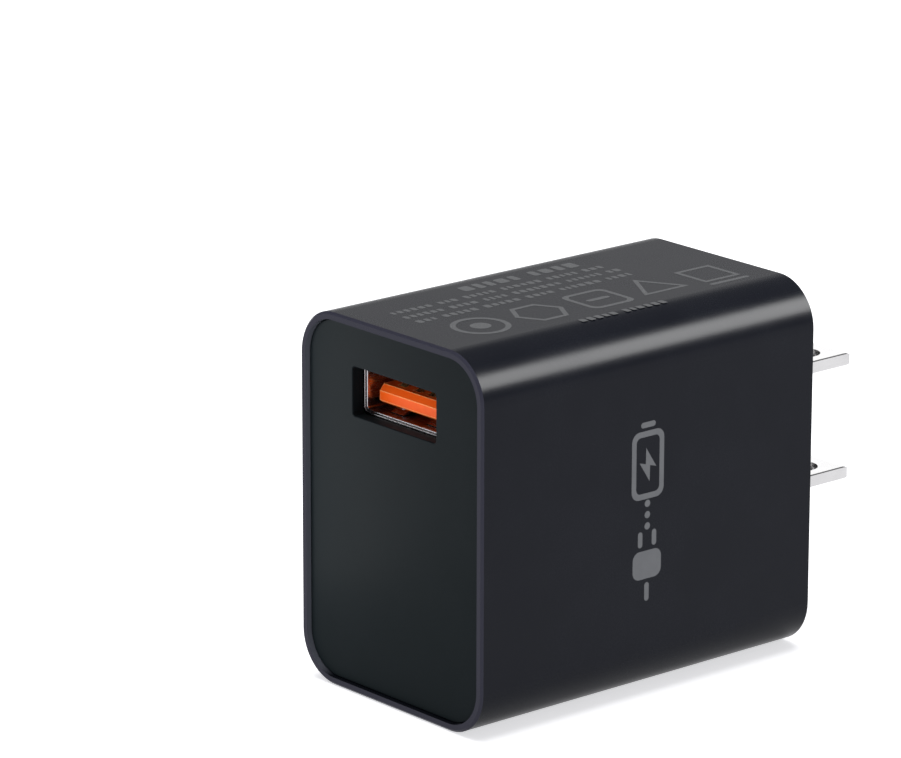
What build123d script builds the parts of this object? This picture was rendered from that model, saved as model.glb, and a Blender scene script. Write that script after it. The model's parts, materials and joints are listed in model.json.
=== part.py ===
from build123d import *
import os

# A two-blade USB wall charger, lying on its narrow side: the USB face looks along -Y, the
# blades leave along +Y, and the board inside stands upright in the Y-Z plane. Millimetres.
# The origin is the middle of the footprint of the whole charger, blades included.

# ------------------------------------------------------------------ driving dimensions
# Housing
WIDTH = 28.4              # across the USB face, X
HEIGHT = 39.8             # up the USB face, Z
DEPTH = 45.7              # from the USB face to the blade face, Y
CORNER_R = 5.1            # rounded long edges of the sleeve
WALL = 1.7
FRONT_RIM = 0.8           # width of the rim around the USB panel
REAR_RIM = 1.0            # width of the rim around the blade plate
FRONT_CHAMFER = 0.25
REAR_CHAMFER = 0.5
PANEL_RECESS = 0.55       # how far the USB panel sits below its rim
PANEL_T = 1.4
PLATE_T = 2.0
GAP = 0.06                # assembly gap around panel and plate
EDGE_R = 0.12             # softened edges of the panel and its opening

# Blades, to the North American two-blade standard
BLADE_PITCH = 12.7
BLADE_W = 6.35
BLADE_T = 1.4
BLADE_REACH = 16.6        # tip to blade face
BLADE_SHOULDER = 15.85    # where the crowned tip starts
BLADE_BEVEL = 15.3        # where the lead-in bevels start
BLADE_TIP_T = 0.7
BLADE_EDGE_R = 0.15       # rolled long edges
BLADE_HOLE_R = 1.9
BLADE_HOLE_AT = 11.9
TAIL_LENGTH = 6.4         # blade inside the housing, behind the blade face
TAIL_W = 4.0
NECK_AT = 1.0             # where the blade narrows to its tail, behind the plate

# Blade connections
RIVET_AT = 4.6            # behind the blade face
RIVET_R = 0.7
RIVET_FIT = 0.03
RIVET_HEAD_R = 1.25
RIVET_HEAD_T = 0.4
STRIP_T = 0.3
BEND_R = 0.35             # bends in sheet strips

# USB type A receptacle
PORT_RISE = 12.51         # centre of the receptacle above the middle of the face
PORT_W = 13.0             # opening in the panel
PORT_H = 5.2
PORT_R = 0.35             # corners of that opening
PORT_DROP = 0.38          # the panel opening sits this much lower than the receptacle
SHELL_W = 12.5            # inside the receptacle's shell
SHELL_H = 5.12
SHELL_R = 0.35            # rounded corners inside the shell
SHELL_T = 0.3
SHELL_DEPTH = 13.85
SHELL_GAP = 0.2           # from the panel to the shell
LIP_W = 0.66              # rolled lip around the shell's mouth
LIP_DEPTH = 0.9
LIP_EDGE_W = 0.12         # thin inner edge of the lip, with a groove around it
LIP_EDGE_STEP = 0.15      # how far that edge sits below the lip
LIP_EDGE_R = 0.09
LIP_GROOVE_W = 0.1
LIP_GROOVE_DEPTH = 0.55
LIP_R = 0.06
TONGUE_W = 11.1
TONGUE_T = 1.86
TONGUE_NOSE = (0.22, 1.22)   # flat front of the tongue, above the tongue's underside
TONGUE_BEVEL = 0.55       # length of the bevel from the nose up to the tongue's top
TONGUE_CHIN = 0.25        # length of the bevel under the nose
TONGUE_R = 0.2
TONGUE_GAP = 0.75         # from the shell's floor to the tongue
TONGUE_SETBACK = 3.25     # tongue's tip behind the rim
USB_BASE_AT = 11.4        # front of the insulator's base behind the rim
CONTACT_X = (-3.5, -1.0, 1.0, 3.5)
CONTACT_W = 1.0
CONTACT_T = 0.25
CONTACT_LIFT = 0.45       # how far each contact stands out of the tongue
CONTACT_CROWN = (2.5, 3.2)   # highest stretch of each contact, behind the tongue's tip
CONTACT_TOE = 1.5         # free end of each contact, behind the tongue's tip
CONTACT_ROOT = 1.4        # straight length at the fixed end
CONTACT_TAIL_T = 0.3      # square tails that run to the board
GROOVE_W = 1.3
GROOVE_D = 1.15
GROOVE_AT = 1.2           # start of the grooves behind the tongue's tip
BASE_FIT = 0.03
FINGER_X = (-2.8, 2.8)
FINGER_W = 1.9
FINGER_L = 6.0
FINGER_LIFT = 0.5         # how far each retention finger stands into the port
FINGER_AT = 3.4           # free end of the fingers behind the rim; they are rooted at the back
FINGER_CROWN = (0.9, 1.6) # innermost stretch of each finger, from its free end
FINGER_TOE = 0.1          # how far the free end stands in from the wall
FINGER_ROOT = 1.0         # straight length at the fixed end
PIP_R = 0.62              # pressed dimple on the crown of each finger
PIP_H = 0.12
PIP_AT = 1.25             # from the finger's free end
WINDOW_GAP = 0.2

# Board
BOARD_T = 1.2
BOARD_X = -7.0            # its component face; the parts stand towards +X
BOARD_LENGTH = 37.5
BOARD_HEIGHT = 34.6
BOARD_SETBACK = 0.35      # from the back of the USB panel
RAIL_T = 0.9
RAIL_H = 1.6
RAIL_FIT = 0.1
SHEET_T = 0.25            # insulation between the board and the wall
SOLDER_FOOT_R = 0.62
SOLDER_TOP_R = 0.42
SOLDER_H = 0.55

# ------------------------------------------------------------------ worked-out places
FRONT = -(DEPTH + BLADE_REACH) / 2           # plane of the USB face's rim
FACE = FRONT + DEPTH                         # plane of the blade face
MID_Z = HEIGHT / 2
PANEL_BACK = FRONT + PANEL_RECESS + PANEL_T
PLATE_BACK = FACE - PLATE_T
PORT_Z = MID_Z + PORT_RISE
SHELL_FRONT = PANEL_BACK + SHELL_GAP
SHELL_BACK = SHELL_FRONT + SHELL_DEPTH
INSULATOR_BACK = SHELL_BACK - 0.2
TONGUE_TIP = FRONT + TONGUE_SETBACK
TONGUE_Z = PORT_Z - SHELL_H / 2 + TONGUE_GAP
TONGUE_TOP = TONGUE_Z + TONGUE_T
USB_BASE = FRONT + USB_BASE_AT
BOARD_BACK = BOARD_X - BOARD_T
BOARD_Y = PANEL_BACK + BOARD_SETBACK
BOARD_Z = MID_Z - BOARD_HEIGHT / 2
RIVET_Y = FACE - RIVET_AT
CONTACT_PIVOT = (USB_BASE - 0.1, TONGUE_TOP - 0.35)
BLADE_Z = {"lower": MID_Z - BLADE_PITCH / 2, "upper": MID_Z + BLADE_PITCH / 2}

# Components on the board, by the centre of their footprint (Y, Z)
TRANSFORMER = (-8.0, 17.0)
INPUT_CAPS = {"front": (-8.8, 31.9), "rear": (1.9, 31.9)}
OUTPUT_CAPS = {"upper": (-23.4, 23.2), "lower": (-23.4, 14.0)}
CHOKE = (4.2, 19.9)
FUSE = (5.9, 7.5)
VARISTOR = (1.5, 7.2)
Y_CAP = (-17.6, 7.4)

# Capacitors
INPUT_CAP_D, INPUT_CAP_L = 9.0, 16.0
OUTPUT_CAP_D, OUTPUT_CAP_L = 8.0, 11.5
CAP_STANDOFF = 0.3
CAN_EDGE_R = 0.5
CAN_NECK_H = 0.7          # crimped neck at the board end of the can
CAN_NECK_INSET = 0.5
CAN_GROOVE = (1.6, 2.2)   # start and end of the rolled groove above the can's foot
CAN_GROOVE_DEPTH = 0.35
SCORE_W, SCORE_DEPTH = 0.35, 0.15
BUNG_H = 1.5
BUNG_INSET = 1.0
SLEEVE_T = 0.15
SLEEVE_FROM = 2.3         # start of the shrink sleeve above the can's foot
SLEEVE_SHORT = 0.6        # how far it stops below the can's top

# Leads
LEAD_R = 0.3
LEAD_FIT = 0.02
LEAD_HALF_PITCH = 1.75
FUSE_HALF_PITCH = 3.3
DISC_HALF_PITCH = 2.5
LEAD_STUB = 0.9           # how far leads stand out of the solder side
TAIL_Y = SHELL_BACK + 0.65
TAIL_STEP = 1.4
TAB_Y = (FRONT + 5.0, FRONT + 13.0)
TAB_W = 2.0
PIN_Y = 5.3               # transformer pins, from its middle
PIN_Z = (-6.6, -2.2, 2.2, 6.6)

# Transformer, wound about X
CORE_W = 19.0             # Z
CORE_H = 16.0             # X
CORE_D = 6.0              # Y
CORE_LIMB = 2.6
CORE_CENTRE = 5.0
CORE_BASE = BOARD_X + 3.1
WINDOW_LOW = CORE_BASE + CORE_LIMB
WINDOW_HIGH = CORE_BASE + CORE_H - CORE_LIMB
BOBBIN_FIT = 0.15
BOBBIN_GAP = 0.1          # between the bobbin and the core's yokes
BOBBIN_T = 0.7
BOBBIN_FOOT = (7.4, 8.0)  # half extents of the pin carriers, along Y and Z
FLANGE_T = 0.8
FLANGE_Y = 7.0
TUBE_Y = CORE_D / 2 + BOBBIN_FIT + BOBBIN_T
TUBE_Z = CORE_CENTRE / 2 + BOBBIN_FIT + BOBBIN_T
WINDING_Y = 7.4
WINDING_Z = 6.4
WINDING_R = 2.0
WINDING_FIT = 0.02
TAPE_T = 0.22

# Choke, fuse and discs
CHOKE_R = 3.9
CHOKE_H = 9.0
CHOKE_LIFT = 0.6
CHOKE_NECK_R = 1.7
CHOKE_FLANGE = 1.1
CHOKE_TURNS = 9
CHOKE_WIRE = (0.35, 0.75) # crowns and valleys of the turns, below the flanges' edge
FUSE_R = 1.8
FUSE_L = 5.2
FUSE_LIFT = 0.5
FUSE_CAP_L = 1.2
FUSE_WAIST = 0.15         # how much thinner the fuse is between its end caps
DISC_R = 3.6
DISC_T = 3.0
DISC_LIFT = 1.2
DISC_EDGE_R = 1.1

# Chips on the solder side: (Y, Z, size along Y, size along Z, thickness, leads a side)
CHIPS = {
    "controller_ic": (-8.0, 12.6, 3.9, 4.9, 1.5, 4),
    "rectifier_ic": (-19.0, 22.4, 3.9, 4.9, 1.5, 4),
    "protocol_ic": (-24.4, 7.2, 3.9, 4.9, 1.5, 4),
    "optocoupler": (-8.0, 20.5, 6.4, 4.4, 2.0, 2),
    "bridge_rectifier": (3.2, 13.6, 3.9, 4.7, 2.4, 2),
}
CHIP_STANDOFF = 0.12
CHIP_EDGE = 0.2
CHIP_DOT_R = 0.35         # dimple beside the first lead
CHIP_DOT_AT = 0.8
CHIP_LEAD_T = 0.2
CHIP_LEAD_W = 0.45
CHIP_LEAD_KNEE = 0.35
CHIP_LEAD_REACH = 1.0

# Rows of small resistors and capacitors: (first Y, first Z, columns, rows)
SMALL_PARTS = [
    (-27.4, 16.6, 2, 5),
    (-19.6, 12.8, 2, 4),
    (-11.6, 27.3, 4, 1),
    (-0.9, 25.0, 4, 2),
    (-12.4, 5.0, 5, 1),
]
SMALL_PITCH = (2.5, 1.5)
SMALL_SIZE = (1.6, 0.8)
SMALL_T = (0.8, 0.5)      # capacitors, resistors


# ------------------------------------------------------------------ helpers
def block(x0, x1, y0, y1, z0, z1):
    """A box between two corners."""
    return Pos((x0 + x1) / 2, (y0 + y1) / 2, (z0 + z1) / 2) * Box(x1 - x0, y1 - y0, z1 - z0)


def facing_front(y, x=0.0, z=0.0):
    """A work plane at y whose normal points to -Y, with local X and Y along X and Z."""
    return Plane(origin=(x, y, z), x_dir=(1, 0, 0), z_dir=(0, -1, 0))


def rounded_bar(width, height, radius, y0, y1, z=MID_Z):
    """A bar along Y with a rounded rectangular section."""
    return extrude(facing_front(y1, z=z) * RectangleRounded(width, height, radius), y1 - y0)


def post(radius, x0, x1, y, z):
    """A round post along X, standing on the board."""
    plane = Plane(origin=(x0, y, z), x_dir=(0, 1, 0), z_dir=(1, 0, 0))
    return extrude(plane * Circle(radius), x1 - x0)


def strip(points, thickness, width, x):
    """A bent sheet strip: a path of (y, z) points, width along X about x."""
    plane = Plane(origin=(x - width / 2, 0, 0), x_dir=(0, 1, 0), z_dir=(1, 0, 0))
    path = FilletPolyline(*points, radius=BEND_R)
    return extrude(plane * trace(path, line_width=thickness), width)


def group(solids):
    """Separate identical pieces kept together in one node."""
    return Compound(children=list(solids))


# ------------------------------------------------------------------ casing
def housing_sleeve():
    body = rounded_bar(WIDTH, HEIGHT, CORNER_R, FRONT, FACE)
    ends = body.faces().sort_by(Axis.Y)
    body = chamfer(ends[0].edges(), FRONT_CHAMFER)
    body = chamfer(body.faces().sort_by(Axis.Y)[-1].edges(), REAR_CHAMFER)

    def hollow(wall, y0, y1):
        return rounded_bar(WIDTH - 2 * wall, HEIGHT - 2 * wall, CORNER_R - wall, y0, y1)

    body -= hollow(WALL, FRONT - 1, FACE + 1)
    body -= hollow(FRONT_RIM, FRONT - 1, PANEL_BACK)
    body -= hollow(REAR_RIM, PLATE_BACK, FACE + 1)
    for inner, outer in ((BOARD_BACK - RAIL_FIT, BOARD_BACK - RAIL_FIT - RAIL_T),
                         (BOARD_X + RAIL_FIT + RAIL_T, BOARD_X + RAIL_FIT)):
        for z0, z1 in ((WALL / 2, WALL + RAIL_H), (HEIGHT - WALL - RAIL_H, HEIGHT - WALL / 2)):
            body += block(outer, inner, BOARD_Y, BOARD_Y + BOARD_LENGTH, z0, z1)
    return body


def front_panel():
    margin = FRONT_RIM + GAP
    panel = rounded_bar(WIDTH - 2 * margin, HEIGHT - 2 * margin, CORNER_R - margin,
                        FRONT + PANEL_RECESS, PANEL_BACK)
    port = rounded_bar(PORT_W, PORT_H, PORT_R, FRONT, PANEL_BACK + 1, z=PORT_Z - PORT_DROP)
    panel -= port
    return fillet(panel.faces().sort_by(Axis.Y)[0].edges(), EDGE_R)


def blade_plate():
    margin = REAR_RIM + GAP
    plate = rounded_bar(WIDTH - 2 * margin, HEIGHT - 2 * margin, CORNER_R - margin,
                        PLATE_BACK, FACE)
    skirt_margin = WALL + GAP
    skirt_t = 1.1
    skirt_y = PLATE_BACK - 2.2
    plate += rounded_bar(WIDTH - 2 * skirt_margin, HEIGHT - 2 * skirt_margin,
                         CORNER_R - skirt_margin, skirt_y, PLATE_BACK)
    inner_margin = skirt_margin + skirt_t
    plate -= rounded_bar(WIDTH - 2 * inner_margin, HEIGHT - 2 * inner_margin,
                         CORNER_R - inner_margin, skirt_y - 1, PLATE_BACK)
    boss_w, boss_h, boss_t = 9.0, 4.4, 0.9
    slot_fit = 0.02
    for z in BLADE_Z.values():
        plate += rounded_bar(boss_w, boss_h, 0.8, PLATE_BACK - boss_t, PLATE_BACK + 0.5, z=z)
        plate -= Pos(0, FACE, z) * Box(BLADE_W + 2 * slot_fit, 4 * PLATE_T, BLADE_T + 2 * slot_fit)
    return plate


def blade(z):
    """A flat contact blade with a crowned, bevelled tip and a narrower tail inside."""
    half = BLADE_W / 2
    neck = PLATE_BACK - NECK_AT
    outline = [
        Line((-TAIL_W / 2, FACE - TAIL_LENGTH), (TAIL_W / 2, FACE - TAIL_LENGTH)),
        Line((TAIL_W / 2, FACE - TAIL_LENGTH), (TAIL_W / 2, neck)),
        Line((TAIL_W / 2, neck), (half, neck)),
        Line((half, neck), (half, FACE + BLADE_SHOULDER)),
        ThreePointArc((half, FACE + BLADE_SHOULDER), (0, FACE + BLADE_REACH),
                      (-half, FACE + BLADE_SHOULDER)),
        Line((-half, FACE + BLADE_SHOULDER), (-half, neck)),
        Line((-half, neck), (-TAIL_W / 2, neck)),
        Line((-TAIL_W / 2, neck), (-TAIL_W / 2, FACE - TAIL_LENGTH)),
    ]
    flat = Pos(0, 0, z - BLADE_T / 2) * extrude(make_face(outline), BLADE_T)
    flank = flat.edges().filter_by(Axis.Y).filter_by(lambda edge: edge.length > BLADE_SHOULDER)
    flat = fillet(flank, BLADE_EDGE_R)
    side_plane = Plane(origin=(-half - 1, 0, z), x_dir=(0, 1, 0), z_dir=(1, 0, 0))
    side = Polyline((FACE - TAIL_LENGTH - 1, -BLADE_T), (FACE - TAIL_LENGTH - 1, BLADE_T),
                    (FACE + BLADE_BEVEL - 1, BLADE_T), (FACE + BLADE_BEVEL - 1, BLADE_T / 2),
                    (FACE + BLADE_BEVEL, BLADE_T / 2), (FACE + BLADE_REACH, BLADE_TIP_T / 2),
                    (FACE + BLADE_REACH, -BLADE_TIP_T / 2), (FACE + BLADE_BEVEL, -BLADE_T / 2),
                    (FACE + BLADE_BEVEL - 1, -BLADE_T / 2), (FACE + BLADE_BEVEL - 1, -BLADE_T),
                    close=True)
    flat &= extrude(side_plane * make_face(side), BLADE_W + 2)
    flat -= Pos(0, FACE + BLADE_HOLE_AT, z) * Cylinder(BLADE_HOLE_R, 2 * BLADE_T)
    flat -= Pos(0, RIVET_Y, z) * Cylinder(RIVET_R + RIVET_FIT, 2 * BLADE_T)
    return flat


# ------------------------------------------------------------------ blade connections
def contact_strip(z):
    """A brass angle from the tail of a blade to its pad on the board."""
    edge_gap, arm_w, foot_w, foot_h = 0.4, 1.4, 3.4, 2.4
    top = z + BLADE_T / 2
    end = BOARD_Y + BOARD_LENGTH - edge_gap
    arm = block(BOARD_X, TAIL_W / 2, end - arm_w, PLATE_BACK - NECK_AT, top, top + STRIP_T)
    foot = block(BOARD_X, BOARD_X + STRIP_T, end - foot_w, end, top - foot_h, top + STRIP_T)
    hole = Pos(0, RIVET_Y, top) * Cylinder(RIVET_R + RIVET_FIT, 2)
    return arm + foot - hole


def contact_rivet(z):
    low = z - BLADE_T / 2
    high = z + BLADE_T / 2 + STRIP_T
    shank = Pos(0, RIVET_Y, (low + high) / 2) * Cylinder(RIVET_R, high - low)
    heads = [Pos(0, RIVET_Y, at) * Cylinder(RIVET_HEAD_R, RIVET_HEAD_T)
             for at in (low - RIVET_HEAD_T / 2, high + RIVET_HEAD_T / 2)]
    return shank + heads[0] + heads[1]


# ------------------------------------------------------------------ USB receptacle
def shell_window(x, z):
    return Pos(x, FRONT + FINGER_AT + FINGER_L / 2, z) * Box(
        FINGER_W + 2 * WINDOW_GAP, FINGER_L + 2 * WINDOW_GAP, 4 * SHELL_T)


def shell_tube(grow, y0, y1):
    """A bar with the section of the shell's inside, larger by grow on every side."""
    return rounded_bar(SHELL_W + 2 * grow, SHELL_H + 2 * grow, SHELL_R + grow, y0, y1, z=PORT_Z)


def usb_shell():
    """Steel shell: a rolled lip with a thin inner edge, windows for the fingers, and tabs."""
    before, groove_end = SHELL_FRONT - 1, SHELL_FRONT + LIP_GROOVE_DEPTH
    edge_front, lip_back = SHELL_FRONT + LIP_EDGE_STEP, SHELL_FRONT + LIP_DEPTH
    groove = LIP_EDGE_W + LIP_GROOVE_W
    frame = shell_tube(LIP_W, SHELL_FRONT, lip_back) - shell_tube(groove, before, groove_end)
    frame = fillet(frame.faces().sort_by(Axis.Y)[0].edges(), LIP_R)
    edge = shell_tube(LIP_EDGE_W, edge_front, lip_back) - shell_tube(0, before, lip_back + 1)
    edge = fillet(edge.faces().sort_by(Axis.Y)[0].inner_wires()[0].edges(), LIP_EDGE_R)
    body = shell_tube(SHELL_T, groove_end, SHELL_BACK) + frame
    shell = body - shell_tube(LIP_EDGE_W / 2, before, SHELL_BACK + 1)
    tube = shell_tube(LIP_EDGE_W, groove_end, SHELL_BACK) - shell_tube(0, before, SHELL_BACK + 1)
    shell += tube + edge
    tab_end = -SHELL_W / 2 + SHELL_R
    for side in (-1, 1):
        wall_z = PORT_Z + side * (SHELL_H + SHELL_T) / 2
        for x in FINGER_X:
            shell -= shell_window(x, wall_z)
        for y in TAB_Y:
            shell += block(BOARD_BACK - LEAD_STUB, tab_end, y - TAB_W / 2, y + TAB_W / 2,
                           wall_z - SHELL_T / 2, wall_z + SHELL_T / 2)
    return shell


def usb_insulator():
    """Moulded base that closes the back of the shell, with the tongue standing out of it."""
    base = shell_tube(-BASE_FIT, USB_BASE, INSULATOR_BACK)
    nose_low, nose_high = (TONGUE_Z + rise for rise in TONGUE_NOSE)
    side = Polyline((USB_BASE + 1, TONGUE_Z), (TONGUE_TIP + TONGUE_CHIN, TONGUE_Z),
                    (TONGUE_TIP, nose_low), (TONGUE_TIP, nose_high),
                    (TONGUE_TIP + TONGUE_BEVEL, TONGUE_TOP), (USB_BASE + 1, TONGUE_TOP),
                    close=True)
    plane = Plane(origin=(-TONGUE_W / 2, 0, 0), x_dir=(0, 1, 0), z_dir=(1, 0, 0))
    tongue = extrude(plane * make_face(side), TONGUE_W)
    tip_corners = [edge for end in (0, -1) for edge in tongue.faces().sort_by(Axis.X)[end].edges()
                   if edge.center().Y < TONGUE_TIP + TONGUE_BEVEL]
    body = base + fillet(tip_corners, TONGUE_R)
    for x in CONTACT_X:
        body -= block(x - GROOVE_W / 2, x + GROOVE_W / 2, TONGUE_TIP + GROOVE_AT, USB_BASE,
                      TONGUE_TOP - GROOVE_D, TONGUE_TOP + 1)
    return body


def contact_spring(x):
    """A contact beam that lies in its groove and bows out of the tongue near the tip."""
    y, z = CONTACT_PIVOT
    crown = TONGUE_TOP + CONTACT_LIFT - CONTACT_T / 2
    path = [(y, z), (y - CONTACT_ROOT, z), (TONGUE_TIP + CONTACT_CROWN[1], crown),
            (TONGUE_TIP + CONTACT_CROWN[0], crown),
            (TONGUE_TIP + CONTACT_TOE, TONGUE_TOP - CONTACT_T)]
    return strip(path, CONTACT_T, CONTACT_W, x)


def contact_tail(x, row):
    """A fixed tail from the back of the insulator round to its hole in the board."""
    z = PORT_Z + (row - 1.5) * TAIL_STEP
    half = CONTACT_TAIL_T / 2
    out = block(x - CONTACT_TAIL_T, x + CONTACT_TAIL_T, INSULATOR_BACK, TAIL_Y + half,
                z - half, z + half)
    run = block(BOARD_BACK - LEAD_STUB, x + CONTACT_TAIL_T, TAIL_Y - half, TAIL_Y + half,
                z - half, z + half)
    return out + run


def retention_finger(x, side):
    """A spring finger cut out of the shell's upper or lower wall, bowed into the port."""
    wall_z = PORT_Z + side * (SHELL_H + SHELL_T) / 2
    tip = FRONT + FINGER_AT
    inner = wall_z - side * FINGER_LIFT
    path = [(tip, wall_z - side * FINGER_TOE), (tip + FINGER_CROWN[0], inner),
            (tip + FINGER_CROWN[1], inner), (tip + FINGER_L - FINGER_ROOT, wall_z),
            (tip + FINGER_L, wall_z)]
    crown = inner - side * SHELL_T / 2
    pip = Pos(x, tip + PIP_AT, crown - side * (PIP_H - PIP_R) / 2) * Cylinder(PIP_R, PIP_R + PIP_H)
    low, high = sorted((crown - side * PIP_H, inner))
    pip &= block(x - 1, x + 1, tip, tip + FINGER_L, low, high)
    top = pip.faces().sort_by(Axis.Z)[-1 if side < 0 else 0]
    return strip(path, SHELL_T, FINGER_W, x) + fillet(top.edges(), PIP_H * 0.8)


# ------------------------------------------------------------------ board
def lead_places():
    """Centre (Y, Z) of every round lead that passes through the board."""
    places = []
    for y, z in list(INPUT_CAPS.values()) + list(OUTPUT_CAPS.values()):
        places += [(y, z - LEAD_HALF_PITCH), (y, z + LEAD_HALF_PITCH)]
    for (y, z), half in ((CHOKE, DISC_HALF_PITCH), (FUSE, FUSE_HALF_PITCH),
                         (VARISTOR, DISC_HALF_PITCH), (Y_CAP, DISC_HALF_PITCH)):
        places += [(y, z - half), (y, z + half)]
    for dy in (-PIN_Y, PIN_Y):
        places += [(TRANSFORMER[0] + dy, TRANSFORMER[1] + dz) for dz in PIN_Z]
    return places


def tail_places():
    return [(TAIL_Y, PORT_Z + (row - 1.5) * TAIL_STEP) for row in range(len(CONTACT_X))]


def tab_places():
    return [(y, PORT_Z + side * (SHELL_H + SHELL_T) / 2) for y in TAB_Y for side in (-1, 1)]


def main_board():
    board = block(BOARD_BACK, BOARD_X, BOARD_Y, BOARD_Y + BOARD_LENGTH,
                  BOARD_Z, BOARD_Z + BOARD_HEIGHT)
    board = fillet(board.edges().filter_by(Axis.X), 0.6)
    middle = (BOARD_BACK + BOARD_X) / 2
    for y, z in lead_places() + tail_places():
        board -= Pos(middle, y, z) * (Rot(0, 90, 0) * Cylinder(LEAD_R + 0.05, 2 * BOARD_T))
    for y, z in tab_places():
        board -= Pos(middle, y, z) * Box(2 * BOARD_T, TAB_W + 0.2, SHELL_T + 0.2)
    slot_y, slot_l, slot_w = -8.0, 7.0, 1.0
    board -= Pos(middle, slot_y, TRANSFORMER[1] + 3.5) * Box(2 * BOARD_T, slot_l, slot_w)
    return board


def solder_joints():
    joints = []
    for y, z in lead_places() + tail_places():
        plane = Plane(origin=(BOARD_BACK, y, z), x_dir=(0, 1, 0), z_dir=(-1, 0, 0))
        cone = loft([plane * Circle(SOLDER_FOOT_R),
                     plane.offset(SOLDER_H) * Circle(SOLDER_TOP_R)])
        hole = post(LEAD_R + LEAD_FIT, BOARD_BACK - 1, BOARD_BACK + 1, y, z)
        if (y, z) in tail_places():
            side = CONTACT_TAIL_T + LEAD_FIT
            hole = Pos(BOARD_BACK, y, z) * Box(2, side, side)
        joints.append(cone - hole)
    return joints


def insulation_sheet():
    low, margin = -WIDTH / 2 + WALL + 0.1, 2.0
    return block(low, low + SHEET_T, BOARD_Y + 1.5, BOARD_Y + BOARD_LENGTH - 1.0,
                 BOARD_Z + margin, BOARD_Z + BOARD_HEIGHT - margin)


# ------------------------------------------------------------------ capacitors
def capacitor_can(place, diameter, length, sleeved):
    """A round aluminium can with its crimped neck and a scored top."""
    y, z = place
    radius = diameter / 2 - (SLEEVE_T if sleeved else 0)
    base = BOARD_X + CAP_STANDOFF
    can = post(radius, base + CAN_NECK_H, base + length, y, z)
    can = fillet(can.faces().sort_by(Axis.X)[-1].edges(), CAN_EDGE_R)
    can += post(radius - CAN_NECK_INSET, base, base + CAN_NECK_H, y, z)
    low, high = (base + rise for rise in CAN_GROOVE)
    can -= post(radius + 1, low, high, y, z) - post(radius - CAN_GROOVE_DEPTH, base, high + 1, y, z)
    can -= post(radius - BUNG_INSET, base - 1, base + BUNG_H, y, z)
    for angle in (0, 60, 120):
        can -= Pos(base + length, y, z) * (
            Rot(angle, 0, 0) * Box(2 * SCORE_DEPTH, SCORE_W, diameter * 0.62))
    return can


def capacitor_sleeve(place, diameter, length):
    """Shrink sleeve around the side of a can."""
    y, z = place
    base = BOARD_X + CAP_STANDOFF
    outer = post(diameter / 2, base + SLEEVE_FROM, base + length - SLEEVE_SHORT, y, z)
    return outer - post(diameter / 2 - SLEEVE_T + 0.01, base - 1, base + length + 1, y, z)


def capacitor_bung(place, diameter, sleeved):
    y, z = place
    radius = diameter / 2 - (SLEEVE_T if sleeved else 0) - BUNG_INSET
    base = BOARD_X + CAP_STANDOFF
    bung = post(radius - LEAD_FIT, base, base + BUNG_H, y, z)
    for dz in (-LEAD_HALF_PITCH, LEAD_HALF_PITCH):
        bung -= post(LEAD_R + LEAD_FIT, base - 1, base + 2, y, z + dz)
    return bung


def capacitor_leads(place):
    y, z = place
    return [post(LEAD_R, BOARD_BACK - LEAD_STUB, BOARD_X + CAP_STANDOFF + 1.4, y, z + dz)
            for dz in (-LEAD_HALF_PITCH, LEAD_HALF_PITCH)]


# ------------------------------------------------------------------ transformer
def transformer_block(x0, x1, half_y, half_z):
    y, z = TRANSFORMER
    return block(x0, x1, y - half_y, y + half_y, z - half_z, z + half_z)


def core_half(x_yoke, x_joint):
    """One E of the ferrite core: a yoke with three limbs that meet the other half."""
    low, high = sorted((x_yoke, x_joint))
    half = transformer_block(low, high, CORE_D / 2, CORE_W / 2)
    window_z = CORE_W / 2 - CORE_LIMB
    inner = x_yoke + (CORE_LIMB if x_joint > x_yoke else -CORE_LIMB)
    w_low, w_high = sorted((inner, x_joint))
    window = transformer_block(w_low, w_high, CORE_D, window_z)
    centre = transformer_block(w_low, w_high, CORE_D / 2, CORE_CENTRE / 2)
    return half - window + centre


def rounded_ring(x0, x1, outer_y, outer_z, radius, inner_y, inner_z):
    """A ring around the winding axis, which runs along X."""
    plane = Plane(origin=(x0, *TRANSFORMER), x_dir=(0, 1, 0), z_dir=(1, 0, 0))
    outer = extrude(plane * RectangleRounded(2 * outer_y, 2 * outer_z, radius), x1 - x0)
    return outer - transformer_block(x0 - 1, x1 + 1, inner_y, inner_z)


def transformer_bobbin():
    low, high = WINDOW_LOW + BOBBIN_GAP, WINDOW_HIGH - BOBBIN_GAP
    flange_z = CORE_W / 2 - CORE_LIMB - BOBBIN_FIT
    spool = transformer_block(low, high, TUBE_Y, TUBE_Z)
    for x0 in (low, high - FLANGE_T):
        spool += transformer_block(x0, x0 + FLANGE_T, FLANGE_Y, flange_z)
    y, z = TRANSFORMER
    foot = BOARD_X + BOBBIN_GAP
    foot_y, foot_z = BOBBIN_FOOT
    for side in (-1, 1):
        near, far = sorted((y + side * (CORE_D / 2 + 0.2), y + side * foot_y))
        spool += block(foot, low + FLANGE_T, near, far, z - foot_z, z + foot_z)
    spool -= transformer_block(low - 1, high + 1, CORE_D / 2 + BOBBIN_FIT,
                               CORE_CENTRE / 2 + BOBBIN_FIT)
    for limb in (-1, 1):
        near, far = sorted((limb * (CORE_W / 2 - CORE_LIMB - BOBBIN_GAP), limb * CORE_W))
        half_y = CORE_D / 2 + BOBBIN_GAP
        spool -= block(CORE_BASE - BOBBIN_GAP, high + 1, y - half_y, y + half_y,
                       z + near, z + far)
    for dy in (-PIN_Y, PIN_Y):
        for dz in PIN_Z:
            spool -= post(LEAD_R + LEAD_FIT, foot - 1, foot + 2.5, y + dy, z + dz)
    return spool


def winding_span():
    """The stretch of X between the bobbin's flanges."""
    inset = BOBBIN_GAP + FLANGE_T + WINDING_FIT
    return WINDOW_LOW + inset, WINDOW_HIGH - inset


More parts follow.
